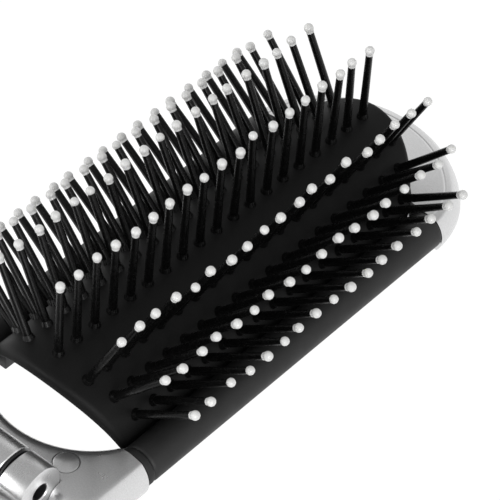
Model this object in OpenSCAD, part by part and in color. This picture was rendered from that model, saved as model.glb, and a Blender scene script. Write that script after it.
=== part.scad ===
// Folding travel brush: an arched pin pad in a silver frame with soft side rails,
// hinged to a hollow handle that swings up and over the pins and becomes their case.
// Millimetres. X across the rows, Y along them towards the free end, Z the way the
// middle row of pins points. The back of the head lies on Z = 0.

/* [Pins] */
// Spacing of the pins along a row
pin_pitch = 4; // [3.4:0.1:4.4]
// Pins in each of the three middle rows, odd
middle_row_pins = 19; // [13:2:21]
// Tilt of the rows beside the middle row, degrees
row_tilt_inner = 25.6; // [22:0.1:28]
// Tilt of the next rows, degrees
row_tilt_middle = 42.6; // [41:0.1:46]
// Tilt of the outer rows, degrees
row_tilt_outer = 57; // [56:0.1:59]
// Free length of a pin, from the pad to the centre of its tip
pin_length = 14.4; // [9:0.1:16]
// Radius of a pin just above its boss
pin_foot_r = 0.66; // [0.6:0.01:0.8]
// Radius of a pin where it enters its tip
pin_end_r = 0.54; // [0.4:0.01:0.6]
// Radius of the boss round the foot of a pin
boss_r = 1.05; // [0.9:0.01:1.2]
// Height of that boss
boss_h = 0.8; // [0.5:0.05:1.5]
// Straight part of that height, below the boss's cone
boss_edge = 0.55; // [0.3:0.05:0.8]
// How much thicker the stem is inside the pad than the pin above it
stem_step = 0.12; // [0.05:0.01:0.15]
// How deep a pin reaches past the centre of its tip
tip_bite = 0.33; // [0.2:0.01:0.5]
// Room left between the pin's end and the bottom of its socket
socket_room = 0.07; // [0.05:0.01:0.2]
// Radius of the round tip
tip_r = 0.85; // [0.75:0.05:1.2]

/* [Pad] */
// Outer radius of the arched pad
pad_r = 14; // [13.4:0.1:16]
// Height of the arch's axis above the back of the head
pad_axis_z = 1.5; // [1:0.1:2.4]
// Thickness of the pad
pad_t = 2.2; // [1.8:0.1:2.6]
// Thickness of the pad's end wall at the free end
pad_end_t = 1.2; // [0.8:0.1:1.6]
// Radius of the pad's hinge end, seen from above
pad_near_r = 22.3; // [16:0.1:32]
// Radius of the pad's free end, seen from above
pad_far_r = 16.5; // [15:0.1:24]
// Pad beyond the last middle pin at the hinge end
pad_near_margin = 4.5; // [4:0.1:9]
// Pad beyond the last middle pin at the free end
pad_far_margin = 4; // [3.6:0.1:7]
// Width of the strip that a row of pins is moulded on
strip_w = 2; // [1.6:0.1:2.2]
// Thickness of that strip
strip_t = 1.2; // [0.8:0.1:1.5]
// Thickness of the arched carrier under the strips
carrier_t = 1.8; // [1.2:0.1:2.4]
// How far the carrier stays back from the pad's hinge end
carrier_setback = 8; // [6:0.1:10]
// Depth of the open mouth under the pad's hinge end
mouth_depth = 12.2; // [8:0.1:16]
// Half of the width of that mouth
mouth_half = 12; // [11:0.1:12.4]

/* [Frame] */
// Radius of the soft side rails, which sets the frame's height
rail_r = 3.3; // [3:0.1:4]
// How far the pad bites into the side rails
rail_bite = 0.4; // [0.1:0.1:0.8]
// Radius of the frame's core inside a rail
core_r = 2; // [1.5:0.1:2.3]
// Thickness of the back cover
back_t = 1.4; // [1:0.1:1.8]
// Thickness of the frame's floor under the pad
floor_t = 2.9; // [2.5:0.1:3.4]
// Half of the width of the window in that floor
window_half = 6; // [3:0.1:8]
// Radius of the frame's outer edge in section
edge_r = 4.6; // [4.2:0.1:5.5]
// Height of the middle of that edge
edge_z = 2.6; // [2:0.1:3.2]
// Radius of the yoke's front corners, seen from above
yoke_corner_r = 5; // [4.8:0.1:9]
// Radius of the yoke's inner edge, seen from above
yoke_inner_r = 16; // [15:0.1:17]
// Opening between the pad and the middle of the yoke
yoke_gap = 4.1; // [3:0.1:6]
// Width of the yoke's bridge at its middle
bridge_w = 3.9; // [2.2:0.1:5]
// How far the yoke's cheeks reach past that bridge, beside the hinge
cheek = 3.3; // [0:0.1:4]
// Where the rails meet the yoke, from the yoke's front
rail_setback = 11.1; // [10:0.1:14]
// Radius of the nose at the free end, seen from above
nose_r = 22; // [20.5:0.1:25]
// Radius of the corners beside the nose
nose_corner_r = 14; // [12:0.1:16]
// Frame beyond the pad at the free end
nose_length = 10.5; // [9:0.1:14]
// Height of the rim at the free end
nose_h = 6; // [5:0.1:6.4]
// Rise of the free end's top from its rim towards the pad, per millimetre
nose_rise = 0.12; // [0:0.01:0.2]

/* [Hinge] */
// Radius of the hinge barrel
barrel_r = 4.4; // [4:0.1:5]
// Height of the hinge axis above the yoke's top
barrel_rise = 1.2; // [0.8:0.1:1.8]
// Half of the width of the whole barrel
barrel_half = 12.4; // [12:0.1:14]
// Width of each outer ear
ear_w = 5.1; // [4.8:0.1:6.4]
// How far an ear's neck stays inside its end face
ear_neck_inset = 0.8; // [0.4:0.1:1.5]
// Where an ear's neck leaves its barrel, degrees from straight down
neck_tangent = 50; // [40:1:60]
// Thickness of a detent washer
washer_t = 0.3; // [0.2:0.05:0.5]
// Radius of the hinge pin
hinge_pin_r = 1.5; // [1.2:0.05:1.8]
// How far the hinge pin sits inside the ears' end faces
hinge_pin_recess = 2.2; // [0.4:0.1:2.5]
// Wall of the knuckle's bush
bush_t = 0.8; // [0.6:0.05:1]
// Thickness of the hinge bracket's plate
bracket_t = 2; // [1.6:0.1:2.4]
// Half of the width of that plate
bracket_half = 14; // [13.6:0.1:15]
// Place of the bracket's screws across the yoke, from the middle
bracket_screw_x = 10.4; // [10:0.1:11]
// Place of the bracket's screws, from the yoke's front
bracket_screw_y = 3.3; // [2.7:0.1:3.4]
// Radius of the plugs over those screws
plug_r = 2.1; // [1.9:0.05:2.3]
// Thickness of a plug
plug_t = 1; // [0.8:0.1:1.2]

/* [Handle] */
// Wall of the handle's outer shell
shell_t = 1.5; // [1.2:0.1:2]
// Wall of the handle's liner
liner_t = 1; // [0.8:0.1:1.4]
// Room between the pin tips and the liner with the handle folded
case_room = 1.2; // [1.1:0.1:3]
// Radius of the liner's round bottom edge
case_edge_r = 19.4; // [17:0.1:19.8]
// Radius of the liner's corners at the free end, seen from above
case_end_r = 21.4; // [20.4:0.1:22]
// Radius of the liner's corners at the hinge end, seen from above
case_corner_r = 10; // [6:0.1:12]
// Handle beyond the head's nose when folded
case_overhang = 3.5; // [3:0.1:8]
// Gap between the folded handle's rim and the yoke
rim_gap = 0.4; // [0.3:0.05:1]
// Gap between the barrel and the handle's end wall
wall_gap = 0.6; // [0.5:0.05:1.5]
// Thickness of the knuckle's flange on that wall
flange_t = 2.2; // [1.8:0.1:3]
// Depth of that flange below the hinge axis
flange_drop = 16; // [13:0.1:18]
// Height of the web between the knuckle and its flange, below the hinge axis
web_drop = 4; // [3:0.1:4.2]
// Depth of the screws in that flange
screw_bite = 1.8; // [1.4:0.1:2]
// Room left below those screws
screw_room = 0.2; // [0.1:0.05:0.3]
// Handle screws from the middle, across
handle_screw_x = 4.2; // [3.5:0.1:4.8]
// Lower handle screws below the hinge axis
handle_screw_low = 12; // [10:0.1:12.4]
// Upper handle screws below the hinge axis
handle_screw_high = 3; // [2.5:0.1:4]

/* [Screws] */
// Radius of a screw's shank
shank_r = 0.8; // [0.6:0.05:0.9]
// Radius of a screw's head
head_r = 1.7; // [1.4:0.05:1.8]
// Height of a screw's head
head_h = 0.8; // [0.6:0.05:0.9]
// Place of the back cover's screws across, from the middle
cover_screw_x = 10; // [9.6:0.1:10.4]
// Place of the back cover's screws along, from the middle
cover_screw_y = 24; // [16:1:28]

/* [Fits] */
// Gap between pieces of one body that are pushed together
push_gap = 0.05; // [0.03:0.01:0.1]
// Running gap of the hinge pin in the bush
run_gap = 0.05; // [0.03:0.01:0.1]
// Gap between a pin and the edge of its hole in the pad
hole_gap = 0.08; // [0.05:0.01:0.12]
// Gap round the turning knuckle
turn_gap = 0.4; // [0.35:0.05:0.8]

/* [Hidden] */
$fn = 96;
// Overlap that makes cuts clean
cut = 1;
// Rows from the +X side to the -X side
row_tilts = [row_tilt_outer, row_tilt_middle, row_tilt_inner, 0,
    -row_tilt_inner, -row_tilt_middle, -row_tilt_outer];
rows = len(row_tilts);
middle_row = (rows - 1) / 2;
function row_pins(i) = middle_row_pins - max(0, abs(i - middle_row) - 1);
function row_half(i) = (row_pins(i) - 1) * pin_pitch / 2;

// A length to the nearest hundredth, so that faces which share it meet exactly
function tidy(length) = round(100 * length) / 100;

// Heights in the head
floor_top = back_t + floor_t;
frame_top = 2 * rail_r;
pad_top = pad_axis_z + pad_r;
strip_outer = pad_r - pad_t - 2 * push_gap;
carrier_r = strip_outer - strip_t - push_gap;
tip_reach = pad_r + pin_length + tip_r;

// Places along the head
pad_near = -row_half(middle_row) - pad_near_margin;
pad_far = row_half(middle_row) + pad_far_margin;
pad_near_c = pad_near + pad_near_r;
pad_far_c = pad_far - pad_far_r;
mouth_y = pad_near + mouth_depth;
yoke_inner = pad_near - yoke_gap;
yoke_front = yoke_inner - bridge_w;
cheek_front = yoke_front - cheek;
rail_near = yoke_front + rail_setback;
nose_end = pad_far + nose_length;
hinge_y = yoke_front - barrel_r;
hinge_z = frame_top + barrel_rise;

// Places across the head
rail_x = pad_r + rail_r - rail_bite;
half_w = rail_x + rail_r;
yoke_cx = half_w - yoke_corner_r;
yoke_cy = cheek_front + yoke_corner_r;
nose_cx = half_w - nose_corner_r;
nose_cy = nose_end - nose_r + tidy(sqrt(pow(nose_r - nose_corner_r, 2) - pow(nose_cx, 2)));
rail_far = nose_cy;
stem_r = pin_foot_r + stem_step;

// Hinge
ear_in = barrel_half - ear_w;
knuckle_half = ear_in - washer_t - 2 * push_gap;
bush_r = hinge_pin_r + run_gap + bush_t;

// Handle, open: it is the case turned half a turn about the hinge axis
rim_z = 2 * hinge_z - frame_top - rim_gap;
liner_floor = 2 * hinge_z - pad_axis_z - tip_reach - case_room;
liner_half = tidy((pad_r + pin_length) * sin(row_tilt_outer)) + tip_r + case_room;
wall_y = hinge_y - barrel_r - wall_gap;
case_far = 2 * hinge_y - nose_end - case_overhang;
case_wall = shell_t + liner_t + push_gap;

// Extrude a section along Y, its x across the head and its y up
module along_y(from, to) {
    translate([0, to, 0]) rotate([90, 0, 0]) linear_extrude(to - from) children();
}

// Extrude a section along X, its x along the head and its y up
module along_x(from, to) {
    translate([from, 0, 0]) rotate([90, 0, 90]) linear_extrude(to - from) children();
}

module bar_y(r, from, to, x, z) {
    along_y(from, to) translate([x, z]) circle(r);
}

module bar_x(r, from, to, y, z) {
    along_x(from, to) translate([y, z]) circle(r);
}

// Both sides of the head
module both_sides() {
    children();
    mirror([1, 0, 0]) children();
}

// Outline of the pad seen from above, grown outwards
module pad_plan(grow = 0) {
    intersection() {
        translate([-pad_r - grow, 2 * pad_near]) square([2 * (pad_r + grow), 4 * abs(pad_near)]);
        union() {
            translate([0, pad_far_c]) circle(pad_far_r + grow);
            translate([0, pad_near_c]) circle(pad_near_r + grow);
            translate([-pad_r - grow, pad_near_c]) square([2 * (pad_r + grow), pad_far_c - pad_near_c]);
        }
    }
}

// Section of the frame's outer edge, from 0 to its reach, with a top that rises inwards
module rim_section(reach, top, rise = 0) {
    intersection() {
        polygon([[0, 0], [reach, 0], [reach, top], [0, top + rise * reach]]);
        union() {
            square([reach - edge_r, top + rise * reach + cut]);
            translate([reach - edge_r, edge_z]) circle(edge_r);
        }
    }
}

// Near end of the frame: two cheeks beside the hinge and the bridge between them
module yoke() {
    difference() {
        union() {
            both_sides() {
                translate([yoke_cx, yoke_cy, 0]) mirror([0, 1, 0])
                    rotate_extrude(angle = 90) rim_section(yoke_corner_r, frame_top);
                along_y(yoke_cy, rail_near)
                    translate([yoke_cx, 0]) rim_section(yoke_corner_r, frame_top);
            }
            along_x(-yoke_cx, yoke_cx)
                translate([yoke_cy, 0]) mirror([1, 0]) rim_section(yoke_corner_r, frame_top);
            translate([-yoke_cx, yoke_cy, 0]) cube([2 * yoke_cx, rail_near - yoke_cy, frame_top]);
        }
        translate([0, yoke_inner + yoke_inner_r, -cut]) cylinder(r = yoke_inner_r, h = frame_top + 2 * cut);
        translate([-barrel_half - push_gap, cheek_front - cut, -cut])
            cube([2 * (barrel_half + push_gap), cheek + cut, frame_top + 2 * cut]);
    }
}

// Free end of the frame, a nose between two tighter corners
module nose() {
    intersection() {
        hull() {
            both_sides() translate([nose_cx, nose_cy, 0])
                rotate_extrude($fn = 40) rim_section(nose_corner_r, nose_h, nose_rise);
            translate([0, nose_end - nose_r, 0])
                rotate_extrude($fn = 40) rim_section(nose_r, nose_h, nose_rise);
        }
        translate([-half_w, rail_far, 0]) cube([2 * half_w, nose_end, pad_top]);
    }
}

// What lies before the back of the mouth under the pad, seen from above
module mouth_plan(half) {
    translate([-half, cheek_front]) square([2 * half, mouth_y - cheek_front]);
}

// Floor that the pad's feet stand on, with a window in its middle and a mouth at its near end
module frame_floor() {
    translate([0, 0, back_t]) linear_extrude(floor_t) difference() {
        union() {
            pad_plan();
            translate([-rail_x, rail_near - cut]) square([2 * rail_x, rail_far - rail_near + 2 * cut]);
        }
        translate([-window_half, -cover_screw_y]) square([2 * window_half, 2 * cover_screw_y]);
        mouth_plan(mouth_half);
    }
}

// Plate of the hinge bracket seen from above, grown outwards
module bracket_plan(grow = 0) {
    difference() {
        translate([-bracket_half - grow, yoke_front - cut])
            square([2 * (bracket_half + grow), bracket_screw_y + head_r + cut + grow]);
        translate([0, yoke_inner + yoke_inner_r]) circle(yoke_inner_r + bridge_w / 4 - grow);
    }
}

module at_bracket_screws() {
    both_sides() translate([bracket_screw_x, yoke_front + bracket_screw_y, 0]) children();
}

module at_cover_screws() {
    for (x = [-1, 1], y = [-1, 1])
        translate([x * cover_screw_x, y * cover_screw_y, 0]) children();
}

module head_frame() {
    color([0.72, 0.73, 0.75]) difference() {
        union() {
            yoke();
            nose();
            frame_floor();
            both_sides() bar_y(core_r, rail_near - cut, rail_far + cut, rail_x, rail_r);
        }
        translate([0, 0, floor_top]) linear_extrude(pad_top) pad_plan(push_gap);
        translate([0, 0, -cut]) linear_extrude(back_t + cut) pad_plan(push_gap - rail_bite);
        translate([0, 0, -cut]) linear_extrude(bracket_t + cut) bracket_plan(push_gap);
        bar_x(barrel_r + turn_gap, -ear_in, ear_in, hinge_y, hinge_z);
        both_sides() bar_x(barrel_r + push_gap, ear_in - cut, barrel_half + push_gap, hinge_y, hinge_z);
        at_bracket_screws() {
            cylinder(r = shank_r + push_gap, h = frame_top);
            translate([0, 0, frame_top - plug_t - head_h]) cylinder(r = head_r + push_gap, h = frame_top);
            translate([0, 0, frame_top - plug_t]) cylinder(r = plug_r + push_gap, h = frame_top);
        }
        at_cover_screws() cylinder(r = shank_r, h = floor_top - push_gap);
    }
}

// Ear of the hinge with the gusset that carries it
module ear() {
    difference() {
        union() {
            bar_x(barrel_r, ear_in, barrel_half, hinge_y, hinge_z);
            along_x(ear_in, barrel_half - ear_neck_inset) polygon([
                [yoke_front - push_gap, 0],
                [yoke_front - push_gap, frame_top - push_gap],
                [hinge_y, hinge_z],
                [hinge_y - barrel_r * sin(neck_tangent), hinge_z - barrel_r * cos(neck_tangent)],
                [hinge_y, 0]
            ]);
        }
        bar_x(hinge_pin_r + push_gap, 0, barrel_half + cut, hinge_y, hinge_z);
    }
}

module hinge_bracket() {
    color([0.72, 0.73, 0.75]) difference() {
        union() {
            linear_extrude(bracket_t) bracket_plan();
            both_sides() ear();
        }
        at_bracket_screws() translate([0, 0, bracket_t / 4]) cylinder(r = shank_r, h = bracket_t);
    }
}

module back_cover() {
    color([0.68, 0.69, 0.71]) difference() {
        linear_extrude(back_t) difference() {
            pad_plan(-rail_bite);
            mouth_plan(half_w);
        }
        at_cover_screws() {
            translate([0, 0, -cut]) cylinder(r = shank_r + push_gap, h = back_t + 2 * cut);
            translate([0, 0, -cut]) cylinder(r = head_r + push_gap, h = head_h + push_gap + cut);
        }
    }
}

// Stand something on the pad at each pin of a row, its z out of the pad
module at_pins(i) {
    translate([0, 0, pad_axis_z]) rotate([0, row_tilts[i], 0])
        for (k = [0 : row_pins(i) - 1])
            translate([0, k * pin_pitch - row_half(i), pad_r]) children();
}

module pin_pad() {
    color([0.09, 0.09, 0.1]) difference() {
        intersection() {
            bar_y(pad_r, pad_near - cut, pad_far + cut, 0, pad_axis_z);
            translate([0, 0, floor_top]) linear_extrude(pad_r) pad_plan();
        }
        intersection() {
            bar_y(pad_r - pad_t, pad_near - cut, pad_far + cut, 0, pad_axis_z);
            translate([0, 0, floor_top - cut]) linear_extrude(pad_r) {
                pad_plan(-pad_end_t);
                mouth_plan(pad_r - pad_end_t);
            }
        }
        for (i = [0 : rows - 1])
            at_pins(i) translate([0, 0, -pad_t - cut])
                cylinder(r = stem_r + hole_gap, h = pad_t + 2 * cut, $fn = 24);
    }
}

module pad_carrier() {
    color([0.16, 0.16, 0.17]) intersection() {
        difference() {
            bar_y(carrier_r, pad_near, pad_far, 0, pad_axis_z);
            bar_y(carrier_r - carrier_t, pad_near - cut, pad_far + cut, 0, pad_axis_z);
        }
        translate([0, 0, floor_top]) linear_extrude(pad_r) intersection() {
            pad_plan(-pad_end_t - push_gap);
            translate([0, carrier_setback]) pad_plan(-pad_end_t - push_gap);
        }
    }
}

// One pin, from the underside of its strip to inside its tip
module pin() {
    under = -pad_t - 2 * push_gap - strip_t;
    rotate_extrude($fn = 24) polygon([
        [0, under],
        [stem_r, under],
        [stem_r, push_gap],
        [boss_r, push_gap],
        [boss_r, boss_edge],
        [pin_foot_r, boss_h],
        [pin_end_r, pin_length + tip_bite],
        [0, pin_length + tip_bite]
    ]);
}

// A row of pins on the strip that it is moulded with
module pin_row(i) {
    color([0.07, 0.07, 0.08]) union() {
        at_pins(i) pin();
        translate([0, 0, pad_axis_z]) rotate([0, row_tilts[i], 0])
            translate([-strip_w / 2, -row_half(i) - strip_w / 2, strip_outer - strip_t])
                cube([strip_w, 2 * row_half(i) + strip_w, strip_t]);
    }
}

// The tips of a row, each with the socket for its pin
module ball_tips(i) {
    color([0.91, 0.91, 0.89]) at_pins(i) translate([0, 0, pin_length]) difference() {
        sphere(tip_r, $fn = 32);
        translate([0, 0, -2 * tip_r])
            cylinder(r = pin_end_r + push_gap, h = 2 * tip_r + tip_bite + socket_room, $fn = 24);
    }
}

// Soft rail on the +X side, split where the frame's floor passes through it
module side_grip_right() {
    color([0.2, 0.2, 0.21]) difference() {
        bar_y(rail_r, rail_near + push_gap, rail_far - push_gap, rail_x, rail_r);
        bar_y(core_r + push_gap, rail_near - cut, rail_far + cut, rail_x, rail_r);
        bar_y(pad_r + push_gap, rail_near - cut, rail_far + cut, 0, pad_axis_z);
        translate([0, rail_near - cut, back_t - push_gap])
            cube([rail_x, rail_far - rail_near + 2 * cut, floor_t + 2 * push_gap]);
    }
}

module side_grip_left() {
    mirror([1, 0, 0]) side_grip_right();
}

// Screw with its head down at z = 0 and its shank up
module screw(reach) {
    cylinder(r = head_r, h = head_h, $fn = 32);
    cylinder(r = shank_r - push_gap / 2, h = reach, $fn = 32);
}

module bracket_screws() {
    color([0.55, 0.55, 0.57]) at_bracket_screws() translate([0, 0, frame_top - plug_t])
        mirror([0, 0, 1]) screw(frame_top - plug_t - bracket_t / 2);
}

module screw_plugs() {
    color([0.72, 0.73, 0.75]) at_bracket_screws() translate([0, 0, frame_top - plug_t])
        cylinder(r = plug_r, h = plug_t);
}

module cover_screws() {
    color([0.55, 0.55, 0.57]) at_cover_screws() translate([0, 0, push_gap])
        screw(floor_top - 4 * push_gap);
}

module hinge_pin() {
    reach = barrel_half - hinge_pin_recess;
    color([0.6, 0.6, 0.62]) bar_x(hinge_pin_r, -reach, reach, hinge_y, hinge_z);
}

module detent_washers() {
    color([0.12, 0.12, 0.13]) both_sides() difference() {
        bar_x(barrel_r - push_gap, knuckle_half + push_gap, ear_in - push_gap, hinge_y, hinge_z);
        bar_x(hinge_pin_r + push_gap, 0, barrel_half, hinge_y, hinge_z);
    }
}

module knuckle_bush() {
    color([0.85, 0.84, 0.8]) difference() {
        bar_x(bush_r, -knuckle_half, knuckle_half, hinge_y, hinge_z);
        bar_x(hinge_pin_r + run_gap, -barrel_half, barrel_half, hinge_y, hinge_z);
    }
}

module at_handle_screws() {
    for (x = [-1, 1], drop = [handle_screw_low, handle_screw_high])
        translate([x * handle_screw_x, wall_y, hinge_z - drop]) children();
}

// Middle knuckle of the hinge with the flange that holds it to the handle
module handle_knuckle() {
    color([0.72, 0.73, 0.75]) difference() {
        union() {
            bar_x(barrel_r, -knuckle_half, knuckle_half, hinge_y, hinge_z);
            along_x(-knuckle_half, knuckle_half) polygon([
                [hinge_y, rim_z],
                [wall_y, rim_z],
                [wall_y, hinge_z - flange_drop],
                [wall_y + flange_t, hinge_z - flange_drop],
                [wall_y + flange_t, hinge_z - 2 * barrel_r],
                [hinge_y, hinge_z - web_drop]
            ]);
        }
        bar_x(bush_r + push_gap, -barrel_half, barrel_half, hinge_y, hinge_z);
        at_handle_screws() rotate([-90, 0, 0]) translate([0, 0, -cut])
            cylinder(r = shank_r, h = screw_bite + screw_room + cut, $fn = 32);
    }
}

// Section of a wall with a round bottom edge, from 0 to its reach
module tub_section(reach, edge, bottom, top) {
    intersection() {
        translate([0, bottom]) square([reach, top - bottom]);
        union() {
            translate([0, bottom]) square([reach - edge, edge]);
            translate([reach - edge, bottom + edge]) circle(edge);
            translate([0, bottom + edge]) square([reach, top - bottom]);
        }
    }
}

// Solid of the handle's boat form, grown outwards from the inside of its liner
module tub(grow, top) {
    half = liner_half + grow;
    edge = case_edge_r + grow;
    reach = case_end_r + grow;
    bottom = liner_floor - grow;
    corner = case_corner_r + grow;
    near = wall_y - case_wall + grow;
    far_c = case_far + case_wall - grow + reach;
    side_c = half - reach;
    difference() {
        union() {
            both_sides() {
                translate([side_c, far_c, 0]) mirror([0, 1, 0])
                    rotate_extrude(angle = 90) tub_section(reach, edge, bottom, top);
                along_y(far_c, near) translate([side_c, 0]) tub_section(reach, edge, bottom, top);
            }
            along_x(-side_c, side_c) translate([far_c, 0]) mirror([1, 0])
                tub_section(reach, edge, bottom, top);
            translate([-side_c, far_c, bottom]) cube([2 * side_c, near - far_c, top - bottom]);
        }
        both_sides() translate([half - corner, near - corner, bottom - cut])
            linear_extrude(top - bottom + 2 * cut) difference() {
                square(corner + cut);
                circle(corner);
            }
    }
}

module handle_shell() {
    color([0.72, 0.73, 0.75]) difference() {
        tub(case_wall, rim_z);
        tub(liner_t + push_gap, rim_z + cut);
        at_handle_screws() rotate([90, 0, 0]) translate([0, 0, -cut])
            cylinder(r = shank_r + push_gap, h = shell_t + 2 * cut, $fn = 32);
    }
}

module handle_liner() {
    color([0.1, 0.1, 0.11]) difference() {
        tub(liner_t, rim_z);
        tub(0, rim_z + cut);
        at_handle_screws() rotate([90, 0, 0])
            cylinder(r = shank_r + push_gap, h = case_wall + cut, $fn = 32);
    }
}

module handle_screws() {
    color([0.55, 0.55, 0.57]) at_handle_screws() rotate([-90, 0, 0])
        translate([0, 0, -case_wall - head_h]) screw(case_wall + head_h + screw_bite);
}

head_frame();
hinge_bracket();
back_cover();
pin_pad();
pad_carrier();
side_grip_right();
side_grip_left();
bracket_screws();
screw_plugs();
cover_screws();
hinge_pin();
detent_washers();
knuckle_bush();
handle_knuckle();
handle_shell();
handle_liner();
handle_screws();
pin_row(0);  // pin_row_1
pin_row(1);  // pin_row_2
pin_row(2);  // pin_row_3
pin_row(3);  // pin_row_4
pin_row(4);  // pin_row_5
pin_row(5);  // pin_row_6
pin_row(6);  // pin_row_7
ball_tips(0);  // ball_tips_1
ball_tips(1);  // ball_tips_2
ball_tips(2);  // ball_tips_3
ball_tips(3);  // ball_tips_4
ball_tips(4);  // ball_tips_5
ball_tips(5);  // ball_tips_6
ball_tips(6);  // ball_tips_7
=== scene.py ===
"""Folding hair brush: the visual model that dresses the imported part.

Metres, in the part's own frame: X across the rows of pins, Y along them towards the
free end, Z the way the middle row points. The back of the head lies on Z = 0.
"""

from math import acos, asin, atan2, cos, hypot, pi, radians, sin, sqrt

import bmesh
import bpy
from bpy.props import FloatProperty, FloatVectorProperty, IntProperty, PointerProperty
from mathutils import Euler, Matrix, Vector


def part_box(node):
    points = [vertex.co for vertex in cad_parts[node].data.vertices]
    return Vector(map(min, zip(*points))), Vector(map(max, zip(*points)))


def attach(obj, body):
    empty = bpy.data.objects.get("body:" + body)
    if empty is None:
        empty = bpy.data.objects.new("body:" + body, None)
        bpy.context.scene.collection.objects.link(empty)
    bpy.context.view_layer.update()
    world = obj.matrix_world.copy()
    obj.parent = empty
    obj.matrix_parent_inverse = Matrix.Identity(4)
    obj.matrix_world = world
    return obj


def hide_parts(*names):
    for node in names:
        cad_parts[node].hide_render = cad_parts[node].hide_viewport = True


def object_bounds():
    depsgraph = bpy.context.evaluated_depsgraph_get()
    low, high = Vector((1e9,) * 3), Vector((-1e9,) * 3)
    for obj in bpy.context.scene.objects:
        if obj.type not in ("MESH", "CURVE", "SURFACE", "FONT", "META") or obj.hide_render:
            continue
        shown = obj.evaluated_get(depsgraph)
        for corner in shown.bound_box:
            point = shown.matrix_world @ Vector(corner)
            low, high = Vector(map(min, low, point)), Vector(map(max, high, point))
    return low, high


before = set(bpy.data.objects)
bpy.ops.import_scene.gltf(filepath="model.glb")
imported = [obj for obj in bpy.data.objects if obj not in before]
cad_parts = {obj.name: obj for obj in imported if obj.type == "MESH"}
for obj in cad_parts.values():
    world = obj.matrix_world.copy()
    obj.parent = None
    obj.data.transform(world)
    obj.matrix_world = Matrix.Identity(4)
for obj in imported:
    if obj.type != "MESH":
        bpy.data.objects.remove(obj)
CAD_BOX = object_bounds()

bl_info = {
    "name": "Folding hair brush",
    "version": (1, 0, 0),
    "blender": (4, 2, 0),
    "location": "View3D > Sidebar > Brush",
    "description": "Builds the head, pins, hinge and case handle of a folding hair brush",
    "category": "Mesh",
}

MM = 0.001
ROWS = range(1, 8)
# The smallest gap that two skins leave between them
HAIRLINE = 0.05 * MM
# The gap beside a part that is let into another
LOOSE = 0.1 * MM
# The rounding of small edges
SOFT = 0.15 * MM
# The share of a bevel by which the middle of its round stands in
ROUND_IN = 0.3
# Edges that bend more than this stay crisp
CRISP = radians(34)
# Points round a small disc, and round a barrel of the hinge
DISC_POINTS, BARREL_POINTS = 40, 72
# How far the ends of the hinge pin stand back in the ears
PIN_RECESS = 2.2 * MM
# The share of a screw head's height at which its shank starts
SHANK_START = 0.8

PAD_LOW, PAD_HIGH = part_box("pin_pad")
GRIP_LOW, GRIP_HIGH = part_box("side_grip_right")
FRAME_LOW, FRAME_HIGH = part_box("head_frame")
BRACKET_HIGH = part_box("hinge_bracket")[1]
COVER_LOW, COVER_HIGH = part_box("back_cover")
PLUG_LOW, PLUG_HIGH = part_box("screw_plugs")
COVER_SCREW_LOW, COVER_SCREW_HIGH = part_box("cover_screws")
HINGE_PIN_LOW, HINGE_PIN_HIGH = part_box("hinge_pin")
WASHER_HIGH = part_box("detent_washers")[1]
KNUCKLE_LOW, KNUCKLE_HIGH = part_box("handle_knuckle")
BUSH_LOW, BUSH_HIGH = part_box("knuckle_bush")
SHELL_LOW, SHELL_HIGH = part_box("handle_shell")
LINER_LOW, LINER_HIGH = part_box("handle_liner")
HANDLE_SCREW_LOW, HANDLE_SCREW_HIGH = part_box("handle_screws")
MIDDLE_TIPS_LOW, MIDDLE_TIPS_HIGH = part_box("ball_tips_4")

# The middle row stands upright, so its box is as wide as a tip
BALL_R = (MIDDLE_TIPS_HIGH.x - MIDDLE_TIPS_LOW.x) / 2

# The pad is a round arch on two feet
FLOOR_TOP = PAD_LOW.z
PAD_RISE = PAD_HIGH.z - PAD_LOW.z
PAD_R = (PAD_HIGH.x ** 2 + PAD_RISE ** 2) / (2 * PAD_RISE)
PAD_AXIS_Z = PAD_HIGH.z - PAD_R

# The soft rails stand beside it
RAIL_R = (GRIP_HIGH.z - GRIP_LOW.z) / 2
RAIL_X = GRIP_HIGH.x - RAIL_R
HALF_W = GRIP_HIGH.x
FRAME_TOP = GRIP_HIGH.z

# The hinge axis runs along X
HINGE = (HINGE_PIN_LOW + HINGE_PIN_HIGH) / 2
HINGE_PIN_R = (HINGE_PIN_HIGH.z - HINGE_PIN_LOW.z) / 2
BARREL_R = BRACKET_HIGH.z - HINGE.z
BARREL_HALF = HINGE_PIN_HIGH.x + PIN_RECESS
KNUCKLE_HALF = KNUCKLE_HIGH.x
EAR_IN = WASHER_HIGH.x + HAIRLINE
YOKE_FRONT = HINGE.y + BARREL_R


def length(name, about, default_mm):
    """A length that a user may change, given in millimetres and kept in metres."""
    return FloatProperty(
        name=name, description=about, default=default_mm * MM, min=0.0, max=200 * MM,
        unit="LENGTH", subtype="DISTANCE", precision=5,
    )


def fraction(name, about, default):
    """A share of something else that a user may change."""
    return FloatProperty(
        name=name, description=about, default=default, min=0.0, max=1.0, subtype="FACTOR",
    )


def strength(name, about, default):
    """The strength of a light that a user may change."""
    return FloatProperty(name=name, description=about, default=default, min=0.0)


def paint(name, about, *rgb):
    """A colour that a user may change."""
    return FloatVectorProperty(
        name=name, description=about, default=rgb, size=3, min=0.0, max=1.0, subtype="COLOR",
    )


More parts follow.
